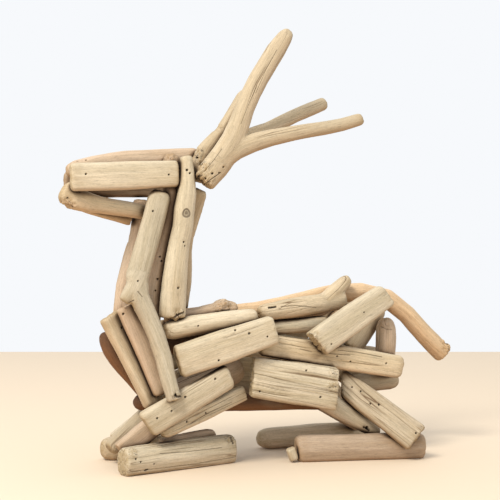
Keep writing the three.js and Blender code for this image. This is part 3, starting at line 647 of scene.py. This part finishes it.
def joint_shade(node_name, points, facing):
    """How closed in each point is by the sticks around it, from 0 in the open to 1 in a joint."""
    corners = []
    faces = []
    for name, (places, triangles) in solid_faces().items():
        if name != node_name:
            faces += [tuple(k + len(corners) for k in t) for t in triangles]
            corners += places
    tree = BVHTree.FromPolygons(corners, faces)
    reach = bpy.context.scene.deer.wood.joint * MM
    shade = np.zeros(len(points))
    side = np.cross(facing, SKEW_TO_FACE)
    side /= np.linalg.norm(side, axis=1)[:, None] + 1e-9
    over = np.cross(facing, side)
    aims = [facing] + [facing * LEAN_OUT + (side * a + over * b) * LEAN_ASIDE for a, b in LEAN_WAYS]
    for aim, share in zip(aims, RAY_WEIGHTS):
        for k, (place, way) in enumerate(zip(points.tolist(), aim.tolist())):
            gap = tree.ray_cast(place, way, reach)[3]
            if gap is not None:
                shade[k] += share * (1 - gap / reach)
    return shade


def rough_places():
    """The node, place and radius of each rough spot, found on the solid sticks."""
    if not rough_places.kept:
        trees = {name: BVHTree.FromPolygons(*faces) for name, faces in solid_faces().items()}
        for across, down, radius in ROUGH_SPOTS:
            start, aim = ray_through(across, down)
            hits = [(tree.ray_cast(start, aim), name) for name, tree in trees.items()]
            hits = [(hit[3], name, hit[0]) for hit, name in hits if hit[0] is not None]
            if not hits:
                raise RuntimeError("No wood at %s, %s" % (across, down))
            rough_places.kept.append(min(hits)[1:] + (radius * MM,))
    return rough_places.kept


rough_places.kept = []


def roughness_at(node_name, points):
    """How rough the wood is at each point, from 0 at 1.5 times a spot's radius to 1 within half of it."""
    rough = np.zeros(len(points))
    for name, place, radius in rough_places():
        if name == node_name:
            gap = np.linalg.norm(points - np.array(place), axis=1)
            rough = np.maximum(rough, np.clip(1.5 - gap / radius, 0, 1))
    return rough


def wood_piece(node_name, kind_name, cracks, lightness):
    """The worn stick that stands for a solid one."""
    wood = bpy.context.scene.deer.wood
    kind = STICK_KINDS[kind_name]
    source = frame["nodes"][node_name]
    mesh = source.data.copy()
    mesh.transform(source.matrix_world)
    mesh.materials.clear()
    shell = bmesh.new()
    shell.from_mesh(mesh)
    bmesh.ops.remove_doubles(shell, verts=shell.verts, dist=1e-5)
    bmesh.ops.recalc_face_normals(shell, faces=shell.faces)
    shell.to_mesh(mesh)
    shell.free()
    piece = bpy.data.objects.new("wood_" + node_name, mesh)
    bpy.context.scene.collection.objects.link(piece)
    remesh = piece.modifiers.new("even mesh", "REMESH")
    remesh.mode = "VOXEL"
    remesh.voxel_size = wood.cell * MM * (HIDDEN_CELLS if node_name.startswith(("far_", "inner_")) else 1.0)
    smooth = piece.modifiers.new("worn edges", "SMOOTH")
    smooth.factor = 0.5
    smooth.iterations = kind["rounds"]
    apply_modifiers(piece)
    mesh = piece.data
    points = coordinates(mesh)
    facing = normals(mesh)
    if node_name in FORKS:
        lines = [resample(np.array(line) * MM, LINE_POINTS) for line in FORKS[node_name]]
    else:
        lines = [middle_line(points)]
    grain, axis = grain_of(points, lines)
    facing = neighbour_mean(mesh, facing, 2)
    store(mesh, "grain", grain)
    store(mesh, "axis", axis)
    # A cut end is 1 where it faces along the grain and -1 where it faces against it.
    toward = (facing * axis).sum(axis=1)
    cut = np.clip((np.abs(toward) - END_FACING) / END_BLEND, 0, 1) * np.sign(toward)
    store(mesh, "cut", cut)
    # An edge is how far the surface stands out from the places around it, and is below 0 in a hollow.
    bulge = ((points - neighbour_mean(mesh, points, 5)) * facing).sum(axis=1) / MM
    store(mesh, "edge", np.clip(neighbour_mean(mesh, bulge, 3) * 2.2, -1, 1))
    # Wood that faces another stick closely is darkened in the material: painted shade in the joints.
    store(mesh, "joint", neighbour_mean(mesh, joint_shade(node_name, points, facing), 2))
    # The sides turned down get a darker, warmer colour in the material: painted shade.
    store(mesh, "painted_underside_shade", np.clip(-facing[:, 2] * 1.2 + 0.1, 0, 1))
    store(mesh, "rough", roughness_at(node_name, points))
    from_end = np.minimum(grain[:, 0] - grain[:, 0].min(), grain[:, 0].max() - grain[:, 0])
    store(mesh, "end", np.clip(1 - from_end / (wood.end_reach * MM), 0, 1))
    swollen = points + facing * wood.swell * (kind["swell"] + WIDER.get(node_name, 0)) * MM
    mesh.vertices.foreach_set("co", swollen.ravel())
    seed = seed_of(node_name)
    modifier = piece.modifiers.new("driftwood relief", "NODES")
    modifier.node_group = relief_tree()
    slot = slot_of(node_name)
    set_inputs(modifier, {
        "Wave depth": kind["wave"] * MM,
        "Fibre depth": kind["fibre"] * MM * wood.ridge,
        "Split depth": kind["split"] * MM * wood.ridge,
        "Split share": cracks,
        "Ragged depth": kind["ragged"] * MM,
        "Seed": [seed * part for part in SEED_SHIFT],
        "Material": wood_material(slot),
    })
    apply_modifiers(piece)
    mesh = piece.data
    points = coordinates(mesh)
    # The relief is kept above the ground that the feet stand on.
    points[:, 2] = np.maximum(points[:, 2], 0.0)
    mesh.vertices.foreach_set("co", points.ravel())
    store(mesh, "tone", np.full(len(mesh.vertices), seed))
    store(mesh, "cracks", np.full(len(mesh.vertices), cracks))
    store(mesh, "lightness", np.full(len(mesh.vertices), lightness))
    store(mesh, "pit", np.zeros(len(mesh.vertices)))
    mesh.polygons.foreach_set("use_smooth", np.ones(len(mesh.polygons), dtype=bool))
    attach(piece, "root")
    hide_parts(node_name)
    return piece


def slot_of(node_name):
    """The record's material slot of a node."""
    return next(part["material_slot"] for part in frame["record"]["subparts"] if part["node"] == node_name)


def wood_material(slot):
    """Bare driftwood, bleached by the sun and worn by water."""
    # It gives the eye a matt, finely ribbed surface with pale and brown streaks along the grain, grey
    # patches and dark hairline cracks. It has painted shade in the joints and a painted warm shade on the
    # sides turned down. It has hardly any shine.
    name = "driftwood " + slot
    material = bpy.data.materials.get(name)
    if material:
        return material
    colours = bpy.context.scene.deer.colours
    main = np.array(getattr(colours, slot))
    light = list(np.clip(main * (1.2, 1.22, 1.3), 0, 0.9)) + [1.0]
    streak = list(main * (0.7, 0.6, 0.45)) + [1.0]
    crack = list(main * (0.26, 0.16, 0.09)) + [1.0]
    # The colour of the painted shade near other sticks.
    painted_joint_shade = list(main * (0.5, 0.36, 0.22)) + [1.0]
    main = list(main) + [1.0]
    stain, grey, honey, hole = [
        list(colour) + [1.0] for colour in (colours.stain, colours.weathered, colours.honey, colours.hole)]
    material = bpy.data.materials.new(name)
    material.use_nodes = True
    tree = material.node_tree
    tree.nodes.clear()
    grain = add(tree, "ShaderNodeAttribute", attribute_name="grain").outputs["Vector"]
    tone, cut, edge, pit, joint, painted_underside_shade, cracks, lightness, rotten, end = [
        add(tree, "ShaderNodeAttribute", attribute_name=kept).outputs["Fac"]
        for kept in ("tone", "cut", "edge", "pit", "joint", "painted_underside_shade", "cracks", "lightness", "rough", "end")]
    shift = add(tree, VECTOR_MATH, {"Vector": SEED_SHIFT, "Scale": tone}, operation="SCALE")
    place = add(tree, VECTOR_MATH, [grain, shift], operation="ADD")

    pattern = {}
    for name, (length, width, detail, roughness) in COLOUR_PATTERNS.items():
        stretched = add(tree, VECTOR_MATH, [place, [1 / (size * MM) for size in (length, width, width)]],
                        operation="MULTIPLY")
        pattern[name] = add(tree, NOISE, {
            "Vector": stretched, "Scale": 1.0, "Detail": detail, "Roughness": roughness})
    rings, fibres, specks, patches, mottle = [
        pattern[name] for name in ("rings", "fibres", "specks", "patches", "mottle")]

    # Each share is a pattern times a gain plus an offset, kept from 0 to 1.
    crack_rare = add(tree, MATH, [cracks, 3.4, -6.6], operation="MULTIPLY_ADD")
    split_rare = add(tree, MATH, [cracks, SPLIT_GAIN, SPLIT_LIMIT], operation="MULTIPLY_ADD")
    (band, brown, greyed, browned, pored, crack_where, split_where,
     ringed, blotted, specked, rotted, closed, jointed, deep) = [
        add(tree, MATH, ramp, operation="MULTIPLY_ADD", use_clamp=True) for ramp in (
            (pattern["bands"], 3.2, -1.1), (rings, 4.5, -2.4), (patches, 5.0, -2.7), (patches, -5.0, 2.1),
            (pattern["pores"], 9.0, -5.9), (pattern["cracked"], 9.0, crack_rare),
            (pattern["split"], SPLIT_SHARP, split_rare), (pattern["cut rings"], 2.4, -0.6),
            (pattern["end blots"], 4.0, -1.4), (mottle, 6.0, -3.0), (mottle, -9.0, 3.9),
            (joint, 3.4, -0.1), (joint, 2.7, -0.4), (pit, 8.0, -7.0))]

    # Hairlines are the places where a long, narrow pattern crosses its middle value.
    hairlines = []
    for name, thin in (("crack line", 40.0), ("hair line", 16.0), ("split line", 50.0)):
        off = add(tree, MATH, [pattern[name], 0.5], operation="SUBTRACT")
        off = add(tree, MATH, [off], operation="ABSOLUTE")
        hairlines.append(add(tree, MATH, [off, -thin, 1.0], operation="MULTIPLY_ADD", use_clamp=True))
    crack_share = add(tree, MATH, [cracks, 0.25, 0.2], operation="MULTIPLY_ADD")
    ridge = add(tree, MATH, [edge, 0.0], operation="MAXIMUM")
    dent = add(tree, MATH, [edge, -1.0], operation="MULTIPLY")
    hollow = add(tree, MATH, [dent, 0.0], operation="MAXIMUM")
    cut_off = add(tree, MATH, [cut], operation="ABSOLUTE")
    fine_where = add(tree, MATH, [crack_where, cracks], operation="MULTIPLY")
    browns, splits, fine, wide, cut_end, worn_end, flecks, rot = [
        add(tree, MATH, pair, operation="MULTIPLY") for pair in (
            (brown, crack_share), (hairlines[0], crack_where), (hairlines[1], fine_where),
            (hairlines[2], split_where), (cut_off, ringed), (end, blotted), (rotten, specked),
            (rotten, rotted))]

    colour = add(tree, MIX, {SHARE: band, FROM: light, TO: main}, data_type="RGBA")
    # The mix toward the honey colour on the sides turned down is painted warm shade.
    for share, strength, tint in (
            (browns, 1.0, streak), (greyed, 0.38, grey), (browned, 0.22, streak), (painted_underside_shade, 0.5, honey)):
        amount = add(tree, MATH, [share, strength], operation="MULTIPLY")
        colour = add(tree, MIX, {SHARE: amount, FROM: colour, TO: tint}, data_type="RGBA")

    shade = add(tree, MATH, [specks, 0.3, 0.52], operation="MULTIPLY_ADD")
    shade = add(tree, MATH, [fibres, 0.66, shade], operation="MULTIPLY_ADD")
    for part in (add(tree, MATH, [pored, -0.22, 1.0], operation="MULTIPLY_ADD"), lightness,
                 add(tree, MATH, [tone, 0.08, 0.96], operation="MULTIPLY_ADD")):
        shade = add(tree, MATH, [shade, part], operation="MULTIPLY")
    shade = add(tree, "ShaderNodeCombineColor", [shade, shade, shade])
    colour = add(tree, MIX, {SHARE: 1.0, FROM: colour, TO: shade}, data_type="RGBA", blend_type="MULTIPLY")

    # The mixes by closeness to other sticks (the closed and jointed shares) are painted shade in the joints.
    for share, strength, tint in (
            (ridge, 0.35, light), (hollow, 0.5, streak), (cut_end, 0.8, streak), (worn_end, 0.5, streak),
            (flecks, 1.0, streak), (rot, 1.0, stain), (splits, 0.6, crack), (fine, 0.35, streak),
            (wide, 0.85, crack), (closed, 0.6, painted_joint_shade), (jointed, 1.0, stain), (pit, 0.9, stain),
            (deep, 1.0, hole)):
        amount = add(tree, MATH, [share, strength], operation="MULTIPLY")
        colour = add(tree, MIX, {SHARE: amount, FROM: colour, TO: tint}, data_type="RGBA")

    height = add(tree, MATH, [rings, 0.5], operation="MULTIPLY")
    height = add(tree, MATH, [fibres, 0.5, height], operation="MULTIPLY_ADD")
    open_crack = add(tree, MATH, [splits, wide], operation="MAXIMUM")
    height = add(tree, MATH, [open_crack, -1.2, height], operation="MULTIPLY_ADD")
    bump = add(tree, "ShaderNodeBump", {"Strength": 0.6, "Distance": 0.0005, "Height": height})
    matt = add(tree, MATH, [fibres, 0.2, 0.68], operation="MULTIPLY_ADD")
    surface = add(tree, "ShaderNodeBsdfPrincipled",
                  {"Base Color": colour, "Roughness": matt, "Normal": bump, "Specular IOR Level": 0.3})
    add(tree, "ShaderNodeOutputMaterial", {"Surface": surface})
    return material


def verts_near(shell, line, reach):
    """The vertices nearer than this to a line of places."""
    centre = sum(line, Vector()) / len(line)
    span = max((place - centre).length for place in line) + reach
    close = [v for v in shell.verts if (v.co - centre).length < span]
    return {v for v in close if gap_to(v.co, line)[0] < reach}


def refine(shell, line, reach, smallest):
    """Splits the faces near a line of places until their edges are small, and gives the vertices near it."""
    for _ in range(2):
        near = verts_near(shell, line, reach)
        edges = {e for v in near for e in v.link_edges
                 if e.calc_length() > smallest and e.other_vert(v) in near}
        bmesh.ops.subdivide_edges(shell, edges=list(edges), cuts=1, use_grid_fill=True)
    return verts_near(shell, line, reach)


def gap_to(place, line):
    """How far a place is from a line of places, and the nearest place on the line."""
    best = (1e9, line[0])
    for a, b in zip(line, line[1:] or line):
        step = b - a
        share = 0.0
        if step.length_squared > 0:
            share = min(1.0, max(0.0, (place - a).dot(step) / step.length_squared))
        on = a + step * share
        best = min(best, ((place - on).length, on), key=lambda pair: pair[0])
    return best


def carve(shell, pit, line, out, width, depth, dark):
    """Sinks a groove, or a round hole where the line is one place, and darkens it.

    It is fully sunk within 0.8 of the radius and level again from 1.2 of it."""
    radius = width / 2
    for v in refine(shell, line, radius * 2 + 0.9 * MM, radius * 0.7):
        off = v.co - gap_to(v.co, line)[1]
        if off.length > radius * 1.6 + 0.8 * MM:
            continue
        aside = (off - out * off.dot(out)).length / radius
        sunk = min(1.0, max(0.0, (1.2 - aside) / 0.4))
        v.co -= out * (sunk * depth)
        v[pit] = max(v[pit], sunk * dark)


def cut_into(piece, cuts):
    """Cuts holes and marks into a piece. Each is a line, a direction out, a width, a depth and a darkness."""
    shell = bmesh.new()
    shell.from_mesh(piece.data)
    pit = shell.verts.layers.float["pit"]
    for line, out, width, depth, dark in cuts:
        carve(shell, pit, line, out, width, depth, dark)
    bmesh.ops.triangulate(shell, faces=[f for f in shell.faces if len(f.verts) > 4])
    shell.to_mesh(piece.data)
    shell.free()
    piece.data.polygons.foreach_set("use_smooth", np.ones(len(piece.data.polygons), dtype=bool))


def surfaces():
    """The worn sticks and their surfaces, to find what the picture shows at a point."""
    found = []
    for piece in wood_pieces():
        piece.data.calc_loop_triangles()
        corners = [v.co.copy() for v in piece.data.vertices]
        faces = [tuple(t.vertices) for t in piece.data.loop_triangles]
        found.append((piece, BVHTree.FromPolygons(corners, faces)))
    return found


def seen_at(found, across, down):
    """The piece, place and direction out that the picture shows at a point."""
    start, aim = ray_through(across, down)
    hits = [(tree.ray_cast(start, aim), piece, tree) for piece, tree in found]
    hits = [hit for hit in hits if hit[0][0] is not None]
    return min(hits, key=lambda hit: hit[0][3]) if hits else None


def wood_pieces():
    """The worn sticks that have been built."""
    return [o for o in bpy.context.scene.objects if o.name.startswith("wood_")]


def build_part(part):
    """Builds the worn sticks of one body part."""
    for node_name, (kind_name, cracks, lightness) in BODY_PARTS[part].items():
        wood_piece(node_name, kind_name, cracks, lightness)
    return {"FINISHED"}


class DEER_OT_back(bpy.types.Operator):
    """Builds the spine with its tail, the burr knot and the withers"""

    bl_idname = "deer.back"
    bl_label = "Back"

    def execute(self, context):
        return build_part("back")


class DEER_OT_core(bpy.types.Operator):
    """Builds the sticks inside the body that hold the rest"""

    bl_idname = "deer.core"
    bl_label = "Core"

    def execute(self, context):
        return build_part("core")


class DEER_OT_head(bpy.types.Operator):
    """Builds the crown, the cheeks and the jaws"""

    bl_idname = "deer.head"
    bl_label = "Head"

    def execute(self, context):
        return build_part("head")


class DEER_OT_antlers(bpy.types.Operator):
    """Builds the two forked antlers"""

    bl_idname = "deer.antlers"
    bl_label = "Antlers"

    def execute(self, context):
        return build_part("antlers")


class DEER_OT_neck(bpy.types.Operator):
    """Builds the sticks and slats of the neck"""

    bl_idname = "deer.neck"
    bl_label = "Neck"

    def execute(self, context):
        return build_part("neck")


class DEER_OT_chest(bpy.types.Operator):
    """Builds the slats of the chest"""

    bl_idname = "deer.chest"
    bl_label = "Chest"

    def execute(self, context):
        return build_part("chest")


class DEER_OT_flank(bpy.types.Operator):
    """Builds the near flank's sticks and slats"""

    bl_idname = "deer.flank"
    bl_label = "Near flank"

    def execute(self, context):
        return build_part("flank")


class DEER_OT_legs(bpy.types.Operator):
    """Builds the near legs and feet"""

    bl_idname = "deer.legs"
    bl_label = "Near legs"

    def execute(self, context):
        return build_part("legs")


class DEER_OT_far_side(bpy.types.Operator):
    """Builds the plainer side that is turned away"""

    bl_idname = "deer.far_side"
    bl_label = "Far side"

    def execute(self, context):
        return build_part("far_side")


class DEER_OT_holes(bpy.types.Operator):
    """Sinks the insect holes where the picture shows them"""

    bl_idname = "deer.holes"
    bl_label = "Insect holes"

    def execute(self, context):
        wood = context.scene.deer.wood
        found = surfaces()
        cuts = {}
        for across, down, width in HOLES:
            hit = seen_at(found, across, down)
            if not hit:
                raise RuntimeError("No wood at %s, %s" % (across, down))
            (place, out, _, _), piece, _ = hit
            width = width * wood.hole_width * MM
            cuts.setdefault(piece, []).append(([place], out, width, width * wood.hole_depth, 1.0))
        for piece, places in cuts.items():
            cut_into(piece, places)
        return {"FINISHED"}


class DEER_OT_marks(bpy.types.Operator):
    """Cuts the knots, cracks and chips where the picture shows them"""

    bl_idname = "deer.marks"
    bl_label = "Knots, cracks and chips"

    def execute(self, context):
        found = surfaces()
        cuts = {}
        lines = list(MARKS)
        for across, down, radius in KNOTS:
            for size, width, dark in KNOT_RINGS:
                turn = [k * math.tau / KNOT_POINTS for k in range(KNOT_POINTS + 1)]
                ring = [(across + (math.cos(a) + KNOT_LEAN * math.sin(2 * a)) * radius * size,
                         down + math.sin(a) * radius * size * KNOT_TALL) for a in turn]
                lines.append((ring, width, KNOT_DEPTH, dark))
        for points, width, depth, dark in lines:
            hit = seen_at(found, *points[0])
            if not hit:
                raise RuntimeError("No wood at %s, %s" % points[0])
            piece, tree = hit[1:]
            places = []
            outs = []
            for (a, b), (c, d) in zip(points, points[1:]):
                steps = max(1, int(math.hypot(c - a, d - b) / MARK_STEP))
                for k in range(steps + 1):
                    start, aim = ray_through(a + (c - a) * k / steps, b + (d - b) * k / steps)
                    place, out, _, _ = tree.ray_cast(start, aim)
                    if place is not None:
                        places.append(place)
                        outs.append(out)
            out = sum(outs, Vector()).normalized()
            cuts.setdefault(piece, []).append((places, out, width * MM, depth * MM, dark))
        for piece, places in cuts.items():
            cut_into(piece, places)
        return {"FINISHED"}


class DEER_OT_stage(bpy.types.Operator):
    """Sets the pale floor, the window's light, the white room and the camera"""

    bl_idname = "deer.stage"
    bl_label = "Stage"

    def execute(self, context):
        scene = context.scene
        stage = scene.deer.stage
        eye, forward, right, _ = view_frame()
        level = Vector((forward.x, forward.y, 0)).normalized()
        plane = bmesh.new()
        side, front, back = stage.floor_side, -stage.floor_front, stage.floor_depth
        for across, depth in ((-side, front), (side, front), (side, back), (-side, back)):
            plane.verts.new(VIEW_OFFSET + right * across + level * depth)
        plane.faces.new(plane.verts)
        mesh = bpy.data.meshes.new("floor")
        plane.to_mesh(mesh)
        plane.free()
        floor = bpy.data.objects.new("floor", mesh)
        scene.collection.objects.link(floor)
        # Matt paper takes a soft shadow and shows no shine.
        paint = bpy.data.materials.new("matt pale paper")
        paint.use_nodes = True
        shader = paint.node_tree.nodes["Principled BSDF"]
        shader.inputs["Base Color"].default_value = list(stage.floor) + [1.0]
        shader.inputs["Roughness"].default_value = 0.9
        mesh.materials.append(paint)
        world = bpy.data.worlds.new("soft white room")
        world.use_nodes = True
        room = world.node_tree.nodes["Background"].inputs
        room["Color"].default_value = list(stage.room) + [1.0]
        room["Strength"].default_value = stage.room_strength
        scene.world = world
        scene.view_settings.view_transform = "Standard"
        lamp = bpy.data.lights.new("window", "AREA")
        lamp.size = stage.window_size
        lamp.energy = stage.window_power
        lamp.color = stage.window
        light = bpy.data.objects.new("window", lamp)
        light.location = stage.window_place
        toward = Vector((0, 0, stage.lit_height)) - Vector(stage.window_place)
        light.rotation_euler = toward.to_track_quat("-Z", "Y").to_euler()
        scene.collection.objects.link(light)
        camera = bpy.data.cameras.new("view")
        camera.sensor_width = SENSOR_WIDTH
        camera.lens = camera.sensor_width * stage.focus_px / PHOTO_SIDE
        camera.clip_start = 0.01
        viewer = bpy.data.objects.new("view", camera)
        viewer.location = eye
        viewer.rotation_euler = forward.to_track_quat("-Z", "Y").to_euler()
        scene.collection.objects.link(viewer)
        scene.camera = viewer
        return {"FINISHED"}


class DEER_PT_panel(bpy.types.Panel):
    """The deer's settings and steps"""

    bl_label = "Driftwood deer"
    bl_idname = "DEER_PT_panel"
    bl_space_type = "VIEW_3D"
    bl_region_type = "UI"
    bl_category = "Deer"

    def draw(self, context):
        settings = context.scene.deer
        for group in (settings.wood, settings.colours, settings.stage):
            box = self.layout.box()
            for name in group.__annotations__:
                box.prop(group, name)
        for operator in OPERATORS:
            self.layout.operator(operator.bl_idname)


OPERATORS = (
    DEER_OT_back, DEER_OT_core, DEER_OT_head, DEER_OT_antlers, DEER_OT_neck, DEER_OT_chest,
    DEER_OT_flank, DEER_OT_legs, DEER_OT_far_side, DEER_OT_holes, DEER_OT_marks, DEER_OT_stage)
CLASSES = (WoodSettings, ColourSettings, StageSettings, DeerSettings) + OPERATORS + (DEER_PT_panel,)


def register():
    """Makes the settings, operators and panel known to Blender."""
    for cls in CLASSES:
        bpy.utils.register_class(cls)
    bpy.types.Scene.deer = bpy.props.PointerProperty(type=DeerSettings)


def unregister():
    """Takes them out again."""
    del bpy.types.Scene.deer
    for cls in reversed(CLASSES):
        bpy.utils.unregister_class(cls)


def main():
    """Builds the deer and its stage."""
    register()
    bpy.ops.deer.back()
    bpy.ops.deer.core()
    bpy.ops.deer.head()
    bpy.ops.deer.antlers()
    bpy.ops.deer.neck()
    bpy.ops.deer.chest()
    bpy.ops.deer.flank()
    bpy.ops.deer.legs()
    bpy.ops.deer.far_side()
    bpy.ops.deer.holes()
    bpy.ops.deer.marks()
    bpy.ops.deer.stage()
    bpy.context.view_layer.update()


if __name__ == "__main__":
    main()
